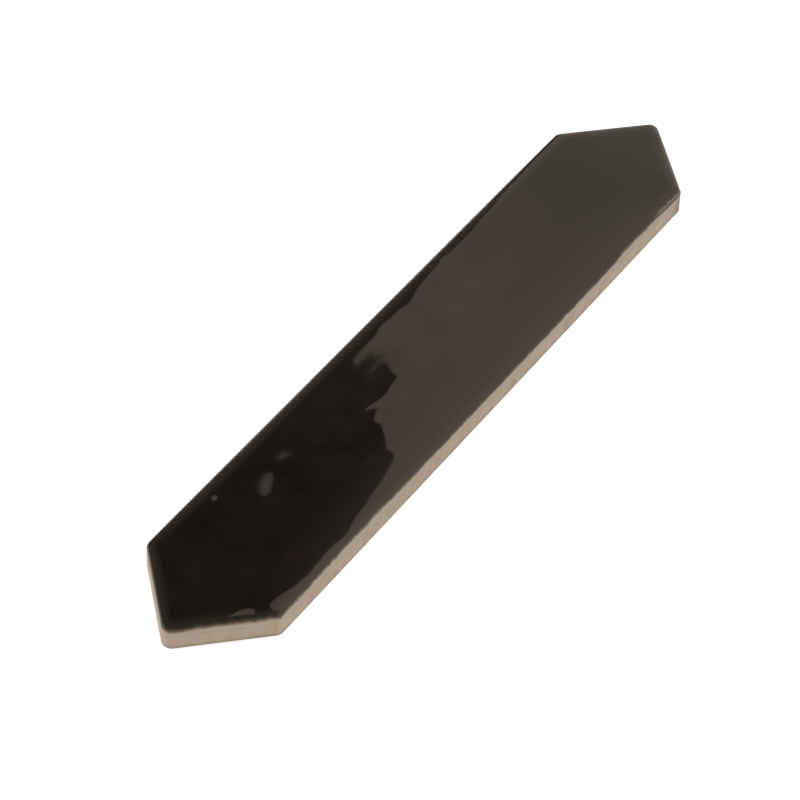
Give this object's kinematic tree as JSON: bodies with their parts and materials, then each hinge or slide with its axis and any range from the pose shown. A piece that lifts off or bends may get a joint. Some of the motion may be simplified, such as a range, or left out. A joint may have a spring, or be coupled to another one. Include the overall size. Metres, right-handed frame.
{
  "type": "ceramic tile",
  "caption": "Long picket wall tile with pointed ends, gently waved glossy black glaze, rolled edges, bare beige body and a fluted back.",
  "frame": {"origin": "centre of the tile's plan, on the bedding face that it lies on", "axes": "+X from one pointed end to the other, +Y across the tile, +Z out of the glazed face"},
  "size_m": [0.2772, 0.05, 0.0095],
  "materials": {
    "glazed_ceramic": "gloss"
  },
  "bodies": {
    "root": {"tile": "glazed_ceramic"}
  },
  "joints": []
}
